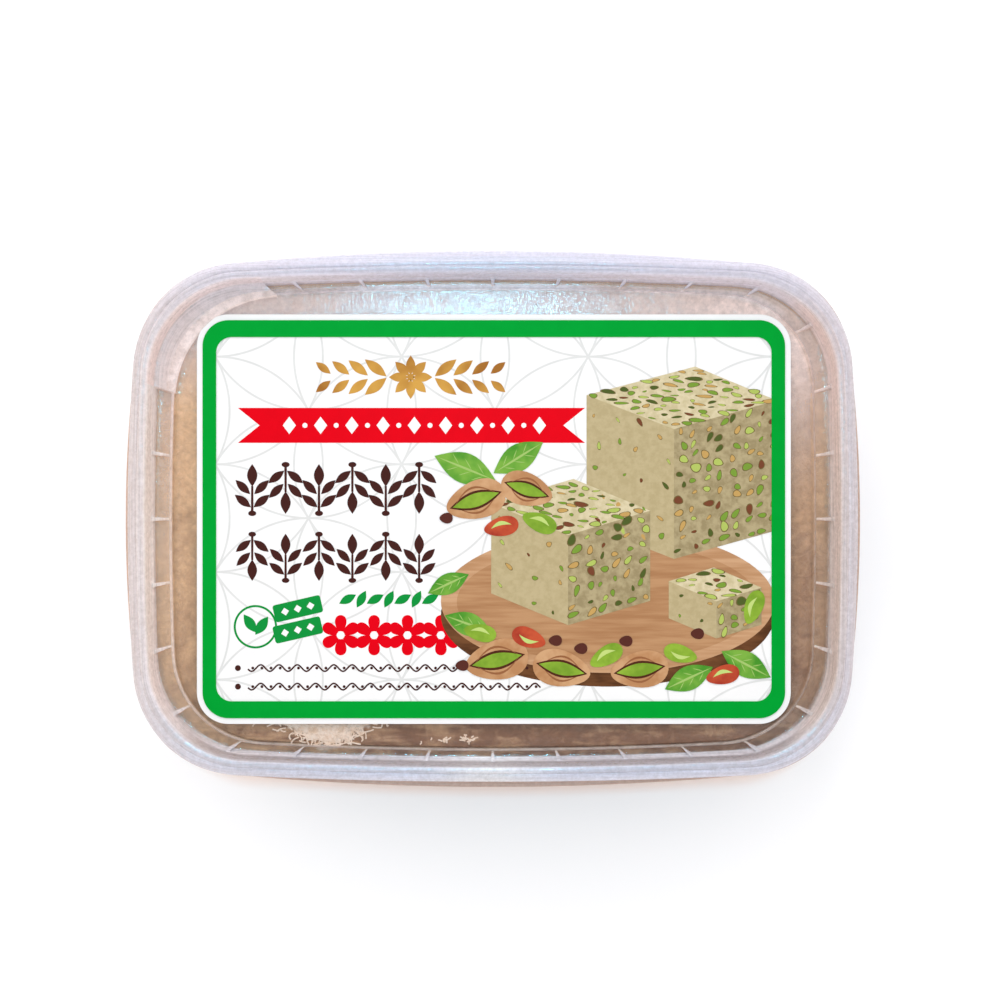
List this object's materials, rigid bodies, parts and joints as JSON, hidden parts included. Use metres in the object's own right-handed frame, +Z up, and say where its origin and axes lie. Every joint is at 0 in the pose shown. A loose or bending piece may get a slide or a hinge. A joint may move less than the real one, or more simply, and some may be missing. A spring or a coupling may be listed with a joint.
{
  "type": "lidded plastic tub of pistachio halva",
  "caption": "Shallow rectangular milky plastic tub filled with halva, closed by a press-down lid with a raised rim, a ribbed channel and a paper label on its sunk panel.",
  "frame": {"origin": "middle of the tub's underside, where it stands", "axes": "+X along the long side, +Y along the short side towards the lid corner pair with the raised band, +Z up through the lid"},
  "size_m": [0.14, 0.1022, 0.033],
  "materials": {
    "tub_plastic": "natural milky polypropylene, satin gloss, see-through enough to show the filling",
    "lid_plastic": "natural milky polypropylene, glossy, thin, whitish where it is thick or away from the filling",
    "halva": "beige-brown pressed sesame halva, flaky, slightly oily where it touches the lid",
    "label_paper": "coated white paper printed in green, red, gold and brown"
  },
  "bodies": {
    "root": {"tub": "tub_plastic", "lid": "lid_plastic", "halva": "halva", "label": "label_paper"}
  },
  "joints": []
}
